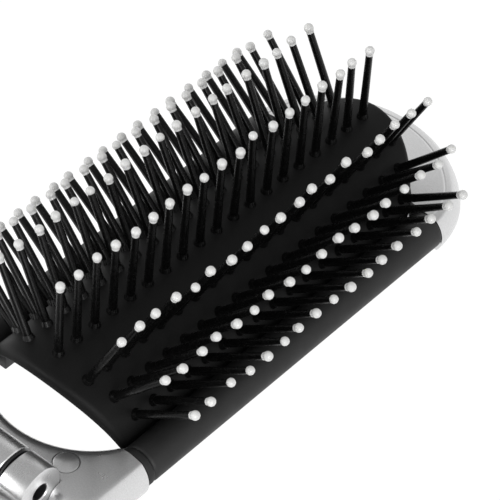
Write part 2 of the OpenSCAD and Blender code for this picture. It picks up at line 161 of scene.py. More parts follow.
class BrushPinSizes(bpy.types.PropertyGroup):
    """Sizes of the pins and their tips."""

    pitch: length("Pitch", "Spacing of the pins along a row", 4.0)
    foot_r: length("Foot radius", "Radius of a pin just above its boss", 0.72)
    end_r: length("End radius", "Radius of a pin where it enters its tip", 0.59)
    boss_r: length("Boss radius", "Radius of the boss round a pin's foot", 1.05)
    boss_h: length("Boss height", "Height of that boss", 0.8)
    tip_r: length("Tip radius", "Radius of the largest round tip", 0.82)
    tip_vary: fraction("Tip spread", "Share by which the smallest tip is smaller", 0.1)
    neck_h: length("Tip neck", "Length of the resin that runs down the pin below its tip", 0.45)
    sink: length("Sink", "How deep a pin's foot sits in the pad", 0.15)
    splay: fraction("Splay", "Share by which the outer rows' feet stand further out", 0.09)
    strip_w: length("Strip width", "Width of the strip that a row is moulded on", 2.0)
    strip_t: length("Strip thickness", "Thickness of that strip", 1.2)
    lean: FloatProperty(
        name="Lean", description="Most that a pin leans from its row, either way",
        default=radians(1.7), unit="ROTATION", subtype="ANGLE",
    )
    seed: IntProperty(name="Seed", description="Seed of the pins' lean", default=7)


class BrushHeadSizes(bpy.types.PropertyGroup):
    """Sizes of the pad, the frame and the rails."""

    pad_t: length("Pad thickness", "Thickness of the arched pad", 2.2)
    pad_edge: length("Pad edge", "Radius along the pad's open edge", 0.9)
    pad_taper: fraction("Taper", "Share by which the pad's open end thins towards its feet", 0.75)
    pad_wall: length("Pad end wall", "Thickness of the pad's wall at the free end", 1.2)
    pad_near_r: length("Pad hinge end", "Radius of the pad's hinge end, from above", 22.3)
    pad_far_r: length("Pad free end", "Radius of the pad's free end, from above", 16.5)
    edge_r: length("Edge radius", "Radius of the frame's outer edge in section", 4.6)
    edge_z: length("Edge height", "Height of the middle of that edge", 2.6)
    crown: length("Crown", "How far the top of a cheek falls towards its crease", 0.28)
    crease: length("Crease", "Width of the soft crease between top and side", 0.45)
    yoke_corner_r: length("Yoke corners", "Radius of the yoke's front corners", 5.0)
    yoke_inner_r: length("Yoke inner edge", "Radius of the yoke's inner edge", 16.0)
    bridge_w: length("Bridge", "Width of the yoke's bridge at its middle", 3.9)
    inner_roll: length("Inner roll", "Width of the rolled inner edge of the yoke", 2.0)
    inner_drop: length("Inner drop", "Depth of that rolled edge", 1.7)
    nose_r: length("Nose radius", "Radius of the nose at the free end", 22.0)
    nose_corner_r: length("Nose corners", "Radius of the corners beside the nose", 14.0)
    nose_rim: length("Nose rim", "Height of the nose's rim", 6.0)
    nose_rise: fraction("Nose rise", "Rise of the nose's top towards the pad", 0.12)
    rim_line: length("Rim line", "Distance of the fine line from the nose's edge", 2.9)
    line_w: length("Line width", "Half of the width of that line", 0.16)
    line_d: length("Line depth", "Depth of that line", 0.06)
    collar_w: length("Collar", "Width of the collar at a rail's hinge end", 1.3)
    collar_dip: length("Collar groove", "Depth of the groove beside that collar", 0.28)
    mouth_half: length("Mouth", "Half of the width of the mouth under the pad", 12.0)
    window_half: length("Window", "Half of the width of the window in the floor", 6.0)
    cover_edge: length("Cover edge", "Bevel round the back cover", 0.35)


class BrushHingeSizes(bpy.types.PropertyGroup):
    """Sizes of the hinge."""

    bevel: length("Bevel", "Bevel on the ends of the barrel", 0.35)
    wave: length("Detent wave", "Depth of the waves in the facing ends", 0.5)
    waves: IntProperty(name="Waves", description="Waves round each facing end", default=2)
    plate_t: length("Plate", "Thickness of the bracket's plate", 2.0)
    plate_half: length("Plate half", "Half of the width of that plate", 14.0)
    neck_inset: length("Neck inset", "How far an ear's neck stays inside its end", 0.8)
    neck_bevel: length("Neck bevel", "Bevel along an ear's neck", 0.4)
    plug_moat: length("Plug moat", "Gap round a screw plug", 0.09)
    plug_edge: length("Plug edge", "Bevel on a screw plug", 0.32)
    flange_t: length("Flange", "Thickness of the knuckle's flange", 2.2)
    screw_head_r: length("Screw head", "Radius of a screw's head", 1.7)
    screw_head_h: length("Screw head height", "Height of a screw's head", 0.8)
    screw_shank_r: length("Screw shank", "Radius of a screw's shank", 0.77)
    drive_w: length("Drive", "Width of the cross in a screw's head", 0.42)
    drive_h: length("Drive depth", "Depth of that cross", 0.45)


class BrushCaseSizes(bpy.types.PropertyGroup):
    """Sizes of the handle, which is also the case of the pins."""

    shell_t: length("Shell", "Wall of the outer shell", 1.5)
    liner_t: length("Liner", "Wall of the liner", 1.0)
    edge_r: length("Bottom edge", "Outer radius of the shell's bottom edge", 21.95)
    far_r: length("Far corners", "Outer radius of the corners at the free end", 23.95)
    near_r: length("Near corners", "Outer radius of the corners at the hinge", 12.55)
    near_edge: length("Near edge", "Radius under the wall at the hinge", 2.4)
    lip: length("Lip", "Roll along the rim of the shell", 0.55)


class BrushFinishes(bpy.types.PropertyGroup):
    """Colours of the finishes."""

    silver: paint("Silver", "Satin silver paint on the frame and the case", 0.70, 0.70, 0.702)
    grip: paint("Grip", "Soft rubber of the side rails", 0.010, 0.010, 0.010)
    pad: paint("Pad", "Rubber of the pad", 0.008, 0.008, 0.008)
    pin: paint("Pin", "Nylon of the pins", 0.003, 0.003, 0.003)
    tip: paint("Tip", "Resin of the tips", 0.80, 0.80, 0.79)
    # This dark plastic also colours the thin tubes in the ears' bores, which paint the shade there
    dark: paint("Dark plastic", "Liner, tray and washers", 0.018, 0.018, 0.019)
    bush: paint("Bush", "Nylon of the hinge bush", 0.70, 0.69, 0.64)
    steel: paint("Steel", "Plated screws", 0.42, 0.42, 0.43)
    # The pin's near-black colour paints the shade in the bores round its recessed ends
    dark_steel: paint("Dark steel", "Blackened hinge pin", 0.03, 0.03, 0.03)


class BrushStage(bpy.types.PropertyGroup):
    """Camera, floor and light."""

    camera_place: FloatVectorProperty(
        name="Camera", description="Where the camera stands", size=3, unit="LENGTH",
        subtype="TRANSLATION", default=(0.21399, -0.27233, 0.36633), precision=5,
    )
    camera_turn: FloatVectorProperty(
        name="Turn", description="How the camera is turned", size=3, subtype="EULER",
        default=(radians(44.2094), radians(-3.4342), radians(40.7788)),
    )
    lens: FloatProperty(name="Lens", description="Focal length in millimetres", default=227.364)
    key: strength("Key", "Power of the key light", 1.3)
    top: strength("Top", "Power of the light above", 1.0)
    fill: strength("Fill", "Power of the light at the front left", 0.9)
    ambient: strength("Ambient", "Strength of the light all round", 0.55)
    ceiling: fraction("Ceiling", "Share of the white walls' strength that the ceiling has", 0.42)
    glow: strength("Glow", "Strength of the white that the floor shows", 1.12)
    shadow: fraction("Shadow", "How much of the object's shadow the white floor shows", 0.15)


# Points and outlines


def arc(cx, cy, r, start, end, steps):
    """Points on a flat arc, from one angle to another."""
    turn = (end - start) / steps
    angles = [start + turn * i for i in range(steps + 1)]
    return [(cx + r * cos(a), cy + r * sin(a)) for a in angles]


def circle(cx, cy, r, count=DISC_POINTS):
    """Points round a full circle."""
    return arc(cx, cy, r, 0, 2 * pi, count)[:-1]


def quarter(steps):
    """Angles through a quarter turn in equal steps, both ends included."""
    return [radians(90) * i / steps for i in range(steps + 1)]


def spread(points, count):
    """Points at equal steps along a line of straight pieces, both ends included."""
    reach = [0.0]
    for a, b in zip(points, points[1:]):
        reach.append(reach[-1] + (Vector(b) - Vector(a)).length)
    out, piece = [], 0
    for i in range(count):
        want = reach[-1] * i / (count - 1)
        while piece < len(points) - 2 and reach[piece + 1] < want:
            piece += 1
        span = reach[piece + 1] - reach[piece]
        share = (want - reach[piece]) / span if span else 0.0
        out.append(Vector(points[piece]).lerp(Vector(points[piece + 1]), share))
    return out


def pad_near_y(x, r):
    """The pad's hinge end at a place across it, seen from above."""
    return PAD_LOW.y + r - sqrt(r * r - x * x)


def pad_far_y(x, r):
    """The pad's free end at a place across it, seen from above."""
    return PAD_HIGH.y - r + sqrt(r * r - x * x)


def barrel_ring(turn, section):
    """A section of (radius, place across) pairs at one angle round the hinge."""
    return [(x, HINGE.y + r * cos(turn), HINGE.z + r * sin(turn)) for r, x in section]


class Skin:
    """The points and faces of one piece while it is being made."""

    def __init__(self):
        self.points = []
        self.faces = []

    def loft(self, rings, loop=False):
        """Join closed rings of equal length, and cap the ends unless they run in a loop."""
        start, around, count = len(self.points), len(rings[0]), len(rings)
        for ring in rings:
            self.points.extend(Vector(p) for p in ring)
        for i in range(count if loop else count - 1):
            a, b = start + i * around, start + (i + 1) % count * around
            for k in range(around):
                n = (k + 1) % around
                self.faces.append((a + k, a + n, b + n, b + k))
        if not loop:
            last = start + (count - 1) * around
            self.faces.append(tuple(range(start, start + around)))
            self.faces.append(tuple(range(last, last + around)))
        return self

    def lathe(self, section, steps=BARREL_POINTS):
        """Turn a closed section, which may change with the angle, about the hinge."""
        turns = [2 * pi * i / steps for i in range(steps)]
        return self.loft([barrel_ring(turn, section(turn)) for turn in turns], loop=True)

    def column(self, cx, cy, levels, count=DISC_POINTS):
        """Stack discs of (radius, height) pairs over one place."""
        return self.loft([[(x, y, z) for x, y in circle(cx, cy, r, count)] for r, z in levels])

    def prism(self, outline, low, high, axis="Z"):
        """Push a flat outline along an axis."""
        if axis == "X":
            rings = [[(x, a, b) for a, b in outline] for x in (low, high)]
        else:
            rings = [[(a, b, z) for a, b in outline] for z in (low, high)]
        return self.loft(rings)

    def mirrored(self):
        """Add the same shape on the other side of the head."""
        start = len(self.points)
        self.points.extend([Vector((-p.x, p.y, p.z)) for p in self.points])
        self.faces.extend([tuple(start + i for i in reversed(f)) for f in list(self.faces)])
        return self

    def mesh(self, name, bevel=0.0, segments=2):
        """The finished mesh, closed and facing outwards, with its sharp edges bevelled."""
        mesh = bpy.data.meshes.new(name)
        shape = bmesh.new()
        points = [shape.verts.new(p) for p in self.points]
        for face in self.faces:
            shape.faces.new([points[i] for i in face])
        bmesh.ops.remove_doubles(shape, verts=shape.verts, dist=1e-7)
        bmesh.ops.dissolve_degenerate(shape, edges=shape.edges, dist=1e-7)
        bmesh.ops.recalc_face_normals(shape, faces=shape.faces)
        if bevel:
            sharp = [e for e in shape.edges if e.calc_face_angle(0.0) > CRISP]
            bmesh.ops.bevel(
                shape, geom=sharp, offset=bevel, segments=segments, profile=0.5,
                affect="EDGES", clamp_overlap=True,
            )
        shape.to_mesh(mesh)
        shape.free()
        return mesh


def join(name, *meshes):
    """Several meshes as one."""
    whole = bpy.data.meshes.new(name)
    shape = bmesh.new()
    for mesh in meshes:
        shape.from_mesh(mesh)
        bpy.data.meshes.remove(mesh)
    shape.to_mesh(whole)
    shape.free()
    return whole


def piece(name, mesh, body, look, *nodes, slot=None, crisp=CRISP):
    """Put a finished mesh in the scene, on its body, in place of its CAD nodes."""
    mesh.shade_smooth()
    mesh.set_sharp_from_angle(angle=crisp)
    mesh.materials.clear()
    mesh.materials.append(finish(look))
    obj = bpy.data.objects.new(name, mesh)
    bpy.context.scene.collection.objects.link(obj)
    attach(obj, body)
    slot or look
    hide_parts(*nodes)


def evaluated(obj):
    """The mesh that an object's modifiers give; the object itself goes."""
    bpy.context.view_layer.update()
    graph = bpy.context.evaluated_depsgraph_get()
    mesh = bpy.data.meshes.new_from_object(obj.evaluated_get(graph))
    plain = obj.data
    bpy.data.objects.remove(obj)
    bpy.data.meshes.remove(plain)
    return mesh


def cut(mesh, tool):
    """One closed mesh with another cut out of it."""
    body = bpy.data.objects.new("cut_body", mesh)
    cutter = bpy.data.objects.new("cut_tool", tool)
    for obj in (body, cutter):
        bpy.context.scene.collection.objects.link(obj)
    boolean = body.modifiers.new("Cut", "BOOLEAN")
    boolean.operation, boolean.solver, boolean.object = "DIFFERENCE", "EXACT", cutter
    result = evaluated(body)
    bpy.data.objects.remove(cutter)
    bpy.data.meshes.remove(tool)
    return result


# Nodes


class Nodes:
    """A node tree that is being filled."""

    def __init__(self, tree):
        self.tree = tree

    def add(self, kind, out=0, settings=None, **inputs):
        """Add a node, set or link its inputs, and give back one of its outputs."""
        node = self.tree.nodes.new(kind)
        for key, value in (settings or {}).items():
            setattr(node, key, value)
        for label, value in inputs.items():
            self.put(node.inputs[label.replace("_", " ")], value)
        return node.outputs[out]

    def put(self, socket, value):
        """Link a socket to another node's output, to several, or set its value."""
        if isinstance(value, bpy.types.NodeSocket):
            self.tree.links.new(value, socket)
        elif isinstance(value, list):
            for each in value:
                self.tree.links.new(each, socket)
        else:
            socket.default_value = value

    def maths(self, operation, a, b):
        """The result of a sum on two numbers."""
        node = self.tree.nodes.new("ShaderNodeMath")
        node.operation = operation
        self.put(node.inputs[0], a)
        self.put(node.inputs[1], b)
        return node.outputs[0]

    def times(self, a, b):
        """Two numbers multiplied."""
        return self.maths("MULTIPLY", a, b)


class Tree(Nodes):
    """A Geometry Nodes tree with named inputs."""

    KINDS = {
        float: "NodeSocketFloat", int: "NodeSocketInt", bool: "NodeSocketBool",
        bpy.types.Material: "NodeSocketMaterial",
    }

    def __init__(self, name, **inputs):
        super().__init__(bpy.data.node_groups.new(name, "GeometryNodeTree"))
        face = self.tree.interface
        face.new_socket("Geometry", in_out="INPUT", socket_type="NodeSocketGeometry")
        face.new_socket("Geometry", in_out="OUTPUT", socket_type="NodeSocketGeometry")
        self.sockets = {
            label: face.new_socket(label, in_out="INPUT", socket_type=self.KINDS[kind])
            for label, kind in inputs.items()
        }
        self.given = self.tree.nodes.new("NodeGroupInput")
        self.result = self.tree.nodes.new("NodeGroupOutput")

    def __getitem__(self, label):
        return self.given.outputs[label]

    def cone(self, sides, bottom, top, depth):
        """A cone or cylinder that stands on its spot."""
        return self.add(
            "GeometryNodeMeshCone", Vertices=sides, Radius_Bottom=bottom, Radius_Top=top,
            Depth=depth)

    def lift(self, shape, height):
        """Move a shape along its own axis."""
        offset = self.add("ShaderNodeCombineXYZ", Z=height)
        return self.add("GeometryNodeTransform", Geometry=shape, Translation=offset)

    def joined(self, *shapes):
        """Several shapes as one."""
        return self.add("GeometryNodeJoinGeometry", Geometry=list(shapes))

    def choose(self, test, no, yes):
        """One of two shapes."""
        node = self.tree.nodes.new("GeometryNodeSwitch")
        node.input_type = "GEOMETRY"
        for socket, value in zip(node.inputs, (test, no, yes)):
            self.put(socket, value)
        return node.outputs[0]

    def random(self, low, high, seed):
        """A number for each spot between two others."""
        node = self.tree.nodes.new("FunctionNodeRandomValue")
        node.data_type = "FLOAT"
        ends = node.inputs[2], node.inputs[3], node.inputs["Seed"]
        for socket, value in zip(ends, (low, high, seed)):
            self.put(socket, value)
        return node.outputs[1]

    def aim(self):
        """The rotation kept with each spot."""
        euler = self.add(
            "GeometryNodeInputNamedAttribute", settings={"data_type": "FLOAT_VECTOR"}, Name="aim")
        return self.add("FunctionNodeEulerToRotation", Euler=euler)

    def spots(self, shape, turn):
        """A shape on every spot."""
        return self.add(
            "GeometryNodeInstanceOnPoints", Points=self["Geometry"], Instance=shape, Rotation=turn)

    def finish(self, shape):
        """End the tree with a real mesh and its material."""
        real = self.add("GeometryNodeRealizeInstances", Geometry=shape)
        painted = self.add("GeometryNodeSetMaterial", Geometry=real, Material=self["Material"])
        self.tree.links.new(painted, self.result.inputs["Geometry"])
        return self

    def run(self, name, spots, **values):
        """Apply the tree to spots of (place, turn) and give back a plain mesh."""
        mesh = bpy.data.meshes.new(name)
        mesh.from_pydata([place for place, _ in spots], [], [])
        aim = mesh.attributes.new("aim", "FLOAT_VECTOR", "POINT")
        for i, (_, turn) in enumerate(spots):
            aim.data[i].vector = turn
        obj = bpy.data.objects.new(name, mesh)
        modifier = obj.modifiers.new("Nodes", "NODES")
        modifier.node_group = self.tree
        for label, value in values.items():
            modifier[self.sockets[label].identifier] = value
        bpy.context.scene.collection.objects.link(obj)
        return evaluated(obj)


def pin_tree():
    """Pins, or the tips that belong on them, on the spots of every row."""
    t = Tree(
        "Pins", Length=float, Foot=float, End=float, Boss=float, Height=float, Tip=float,
        Neck=float, Bite=float, Lean=float, Vary=float, Seed=int, Tips=bool,
        Material=bpy.types.Material,
    )
    sides, ball_sides, ball_rings = 12, 14, 8
    # The boss has a short upright foot and a shoulder that slopes in to the shaft
    waist, step = t.times(t["Boss"], 0.93), t.times(t["Height"], 0.3)
    boss = t.cone(sides, t["Boss"], waist, step)
    shoulder = t.cone(sides, waist, t.times(t["Foot"], 1.05), t.times(t["Height"], 0.9))
    shaft = t.cone(sides, t["Foot"], t["End"], t.maths("ADD", t["Length"], t["Bite"]))
    stem = t.joined(boss, t.lift(shoulder, step), shaft)
    # The tip is a ball with a neck of resin that starts in its lower half
    drop = t.add(
        "GeometryNodeMeshUVSphere", Segments=ball_sides, Rings=ball_rings, Radius=t["Tip"])
    neck = t.cone(sides, t.times(t["End"], 1.1), t.times(t["Tip"], 0.8), t["Neck"])
    below = t.maths("ADD", t["Neck"], t.times(t["Tip"], 0.5))
    low = t.maths("SUBTRACT", t["Length"], below)
    bead = t.joined(t.lift(drop, t["Length"]), t.lift(neck, low))
    # Each pin leans a little its own way and is turned about itself
    swing = t.add("ShaderNodeCombineXYZ", X=t["Lean"], Y=t["Lean"], Z=pi)
    back = t.add(
        "ShaderNodeVectorMath", settings={"operation": "SCALE"}, Vector=swing, Scale=-1.0)
    random = t.add(
        "FunctionNodeRandomValue", settings={"data_type": "FLOAT_VECTOR"}, Min=back, Max=swing,
        Seed=t["Seed"])
    turn = t.add(
        "FunctionNodeRotateRotation", settings={"rotation_space": "LOCAL"}, Rotation=t.aim(),
        Rotate_By=t.add("FunctionNodeEulerToRotation", Euler=random))
    spots = t.spots(t.choose(t["Tips"], stem, bead), turn)
    size = t.random(t.maths("SUBTRACT", 1.0, t["Vary"]), 1.0, t["Seed"])
    centre = t.add("ShaderNodeCombineXYZ", Z=t["Length"])
    return t.finish(
        t.add("GeometryNodeScaleInstances", Instances=spots, Scale=size, Center=centre))


def screw_tree():
    """Screws with a cross in the head, which looks down, and the shank up."""
    t = Tree(
        "Screws", Head=float, Height=float, Shank=float, Reach=float, Drive=float, Depth=float,
        Material=bpy.types.Material,
    )
    head_sides, shank_sides = 28, 16
    head = t.cone(head_sides, t.times(t["Head"], 0.84), t["Head"], t["Height"])
    span, deep = t.times(t["Head"], 1.15), t.times(t["Depth"], 2.0)
    bars = [
        t.add("GeometryNodeMeshCube", Size=t.add("ShaderNodeCombineXYZ", X=x, Y=y, Z=deep))
        for x, y in ((span, t["Drive"]), (t["Drive"], span))
    ]
    node = t.tree.nodes.new("GeometryNodeMeshBoolean")
    node.operation, node.solver = "DIFFERENCE", "EXACT"
    t.put(node.inputs["Mesh 1"], head)
    t.put(node.inputs["Mesh 2"], bars)
    shank = t.cone(shank_sides, t["Shank"], t["Shank"], t["Reach"])
    inside = t.times(t["Height"], SHANK_START)
    return t.finish(t.spots(t.joined(node.outputs["Mesh"], t.lift(shank, inside)), t.aim()))


# Finishes

# For each finish: its colour, the size of its fine grain in millimetres, the share by which
# the grain tints the colour, the range of its roughness, which follows larger patches where
# they have a size, the height and strength of a raised grain, and the surface's other values
FINISHES = {
    # Satin silver paint with fine flakes
    "silver_paint": dict(
        colour="silver", fine=0.22, detail=4.0, tint=0.07, rough=(0.26, 0.32), patch=4,
        raised=(0.01, 0.35), Metallic=0.9, Coat_Weight=0.12, Coat_Roughness=0.22,
    ),
    # Soft-touch rubber with a dull, fine grain
    "soft_grip": dict(
        colour="grip", fine=0.18, tint=0.12, rough=(0.50, 0.60), patch=3, raised=(0.012, 0.3),
        Specular_IOR_Level=0.4,
    ),
    # Black moulded rubber, smoother than the grips
    "pad_rubber": dict(
        colour="pad", fine=0.3, tint=0.15, rough=(0.46, 0.56), patch=5, raised=(0.01, 0.25),
        Specular_IOR_Level=0.13,
    ),
    # Black nylon with a moulded gloss
    "pin_nylon": dict(
        colour="pin", fine=0.9, tint=0.2, rough=(0.20, 0.30), Specular_IOR_Level=0.28,
    ),
    # Off-white resin drops
    "tip_resin": dict(
        colour="tip", fine=0.7, tint=0.03, rough=(0.22, 0.32), Subsurface_Weight=0.12,
        Subsurface_Radius=(0.6 * MM, 0.6 * MM, 0.55 * MM), Subsurface_Scale=1.0,
        Coat_Weight=0.35, Coat_Roughness=0.08,
    ),
    # Black moulded plastic with a spark-eroded texture
    "dark_plastic": dict(
        colour="dark", fine=0.35, tint=0.15, rough=(0.42, 0.55), raised=(0.02, 0.4),
        Specular_IOR_Level=0.45,
    ),
    # Natural nylon
    "bush_nylon": dict(colour="bush", fine=1.2, tint=0.04, rough=(0.38, 0.46)),
    # Plated steel with fine turning marks
    "steel": dict(colour="steel", fine=0.12, tint=0.08, rough=(0.28, 0.40), Metallic=1.0),
    # The same steel, darkened so that the pin paints the shade in the ears' bores
    "dark_steel": dict(
        colour="dark_steel", fine=0.12, tint=0.08, rough=(0.28, 0.40), Metallic=1.0,
    ),
}
# The part of the noise's range that a grain uses
NOISE_LOW, NOISE_HIGH = 0.3, 0.7


def grain(nodes, size, detail=3.0):
    """Fine noise of a real size on the piece's own coordinates."""
    place = nodes.add("ShaderNodeTexCoord", out="Object")
    return nodes.add("ShaderNodeTexNoise", out="Fac", Vector=place, Scale=1 / size, Detail=detail)


def tinted(nodes, noise, colour, tint):
    """A colour that the grain darkens and lightens by a share."""
    ramp = nodes.tree.nodes.new("ShaderNodeValToRGB")
    levels = (NOISE_LOW, 1 - tint), (NOISE_HIGH, 1 + tint)
    for stop, (place, level) in zip(ramp.color_ramp.elements, levels):
        stop.position = place
        stop.color = [min(1, c * level) for c in colour] + [1]
    nodes.put(ramp.inputs["Fac"], noise)
    return ramp.outputs["Color"]


def make_finish(name, colour, fine, tint, rough, detail=3.0, patch=None, raised=None, **values):
    """The material of one row of the finishes."""
    material = bpy.data.materials.new(name)
    material.use_nodes = True
    nodes = Nodes(material.node_tree)
    surface = nodes.tree.nodes["Principled BSDF"].inputs
    for label, value in values.items():
        nodes.put(surface[label.replace("_", " ")], value)
    noise = grain(nodes, fine * MM, detail)
    base = tuple(getattr(bpy.context.scene.brush_finishes, colour))
    nodes.put(surface["Base Color"], tinted(nodes, noise, base, tint))
    nodes.put(surface["Roughness"], nodes.add(
        "ShaderNodeMapRange", Value=grain(nodes, patch * MM) if patch else noise,
        From_Min=NOISE_LOW, From_Max=NOISE_HIGH, To_Min=rough[0], To_Max=rough[1]))
    if raised:
        nodes.put(surface["Normal"], nodes.add(
            "ShaderNodeBump", Height=noise, Distance=raised[0] * MM, Strength=raised[1]))
    return material


def finish(look):
    """The material of a finish, made the first time that it is asked for."""
    name = f"{look}_finish"
    return bpy.data.materials.get(name) or make_finish(name, **FINISHES[look])


# Shapes of the head


def pad_skin(s):
    """The arched pad: open and rolled at the hinge end, walled at the free end."""
    outer, roll = PAD_R, s.pad_edge
    foot = acos((FLOOR_TOP - PAD_AXIS_Z) / PAD_R)
    along, across, down, turns = 14, 56, 5, quarter(4)

    def near(r, a, inset):
        x = r * sin(a)
        return x, pad_near_y(x, s.pad_near_r) + inset, max(FLOOR_TOP, PAD_AXIS_Z + r * cos(a))

    def far(r, a, inset):
        x = r * sin(a)
        return x, pad_far_y(x, s.pad_far_r) - inset, max(FLOOR_TOP, PAD_AXIS_Z + r * cos(a))

    def between(start, end, steps):
        return [tuple(Vector(start).lerp(Vector(end), i / steps)) for i in range(1, steps)]

    def upright(place, shares):
        x, y, z = place
        return [(x, y, FLOOR_TOP + (z - FLOOR_TOP) * share) for share in shares]

    rings = []
    for i in range(across + 1):
        a = foot * (1 - 2 * i / across)
        # The open end thins towards the feet, and its two roundings with it
        thin = s.pad_t * (1 - s.pad_taper * abs(a / foot) ** 3)
        edge, lip = min(roll, 0.45 * thin), min(roll / 3, 0.15 * thin)
        ring = [near(outer - edge + edge * sin(t), a, edge - edge * cos(t)) for t in turns]
        over = [far(outer - roll + roll * cos(t), a, roll - roll * sin(t)) for t in turns]
        ring += between(ring[-1], over[0], along) + over
        ring += upright(over[-1], [1 - k / down for k in range(1, down + 1)])
        ring += upright(far(outer - s.pad_t, a, s.pad_wall), [k / down for k in range(down + 1)])
        under = [near(outer - thin + lip - lip * cos(t), a, lip - lip * sin(t)) for t in turns]
        ring += between(ring[-1], under[0], along) + under
        rings.append(ring)
    return Skin().loft(rings).mesh("pad_skin")


def edge_section(s, top):
    """The frame's outer edge as (inset, height) pairs, from the back up over the crease."""
    side_steps, crease_steps = 9, 3
    low, high = asin(-s.edge_z / s.edge_r), asin((top - s.edge_z) / s.edge_r)
    stop = high - s.crease / s.edge_r
    side = [(s.edge_r - x, z) for x, z in arc(0, s.edge_z, s.edge_r, low, stop, side_steps)]
    corner = Vector((s.edge_r - s.edge_r * cos(high), top))
    start, end = Vector(side[-1]), Vector((corner.x + s.crease, top))
    for i in range(1, crease_steps + 1):
        share = i / crease_steps
        side.append(tuple(start.lerp(corner, share).lerp(corner.lerp(end, share), share)))
    return side


def band_ring(outer, out, inner, middle, side, s):
    """One section of the yoke, from its outer edge over the top and down its inner edge."""
    foot, widest = 0.3 * MM, 0.6
    ring = [(outer.x - out.x * d, outer.y - out.y * d, z) for d, z in side]
    crest, fall = Vector(ring[-1][:2]), FRAME_TOP - ring[-1][2]
    into = (crest - inner).normalized()
    lean = into.dot((inner - middle).normalized())
    reach = min(s.inner_roll / lean, widest * (crest - inner).length)
    # The top rises from the crease to the frame's height, then rolls over the inner edge
    for share in (0.25, 0.5, 0.75):
        place = crest.lerp(inner + into * reach, share)
        ring.append((place.x, place.y, FRAME_TOP - fall * (1 - share) ** 2))
    for t in quarter(6):
        place = inner + into * reach * (1 - sin(t))
        ring.append((place.x, place.y, FRAME_TOP - s.inner_drop * (1 - cos(t))))
    ring.append((inner.x, inner.y, foot))
    ring.append((inner.x + into.x * foot, inner.y + into.y * foot, 0))
    return ring


def yoke_centre(s):
    """Centre of the yoke's round inner edge."""
    return Vector((0, YOKE_FRONT + s.bridge_w + s.yoke_inner_r))


def cheek_rings(s):
    """Sections of the yoke's right cheek, from the rail round to the hinge."""
    side_steps, corner_steps, front_steps, edge_steps = 6, 14, 3, 12
    front, near, r = FRAME_LOW.y, GRIP_LOW.y - HAIRLINE, s.yoke_corner_r
    notch = BARREL_HALF + HAIRLINE
    cx, cy = HALF_W - r, front + r
    outline = [
        (Vector((HALF_W, near + (cy - near) * i / side_steps)), Vector((1, 0)))
        for i in range(side_steps)
    ]
    for x, y in arc(cx, cy, r, 0, -pi / 2, corner_steps):
        outline.append((Vector((x, y)), Vector((x - cx, y - cy)).normalized()))
    outline += [
        (Vector((cx + (notch - cx) * i / front_steps, front)), Vector((0, -1)))
        for i in range(1, front_steps + 1)
    ]
    centre = yoke_centre(s)
    start, end = asin((near - centre.y) / s.yoke_inner_r), -acos(notch / s.yoke_inner_r)
    round_edge = arc(centre.x, centre.y, s.yoke_inner_r, start, end, edge_steps)
    rings = []
    for k, ((p, out), inner) in enumerate(zip(outline, spread(round_edge, len(outline)))):
        # The crown is full at the rail and gone at the hinge
        fall = s.crown * (1 + cos(pi * k / (len(outline) - 1))) / 2
        rings.append(band_ring(p, out, inner, centre, edge_section(s, FRAME_TOP - fall), s))
    return rings


def bridge_rings(s, count):
    """Sections of the yoke's bridge behind the hinge, with so many points up the front."""
    steps, soft = 36, 0.3 * MM
    half, centre = BARREL_HALF + 0.6 * HAIRLINE, yoke_centre(s)
    side = [(0, (FRAME_TOP - soft) * i / (count - 2)) for i in range(count - 1)]
    side.append((soft, FRAME_TOP))
    rings = []
    for i in range(steps + 1):
        x = half * (1 - 2 * i / steps)
        edge = Vector((x, centre.y - sqrt(s.yoke_inner_r ** 2 - x * x)))
        rings.append(band_ring(Vector((x, YOKE_FRONT)), Vector((0, -1)), edge, centre, side, s))
    return rings


def plug_places():
    """Where the two screw plugs sit, with their radius."""
    r = (PLUG_HIGH.y - PLUG_LOW.y) / 2
    return [(side * (PLUG_HIGH.x - r), PLUG_LOW.y + r, r) for side in (1, -1)]


def yoke_skin(s, h):
    """The yoke: two cheeks and the bridge between them, with the pockets of the screw plugs."""
    right = cheek_rings(s)
    left = [[(-x, y, z) for x, y, z in ring] for ring in reversed(right)]
    bridge = bridge_rings(s, len(edge_section(s, FRAME_TOP)))
    yoke = Skin().loft(right + bridge + left).mesh("yoke_skin")
    pockets = Skin()
    for x, y, r in plug_places():
        pockets.column(x, y, [(r + h.plug_moat, z) for z in (PLUG_LOW.z, FRAME_TOP + MM)])
    return cut(yoke, pockets.mesh("plug_pockets"))


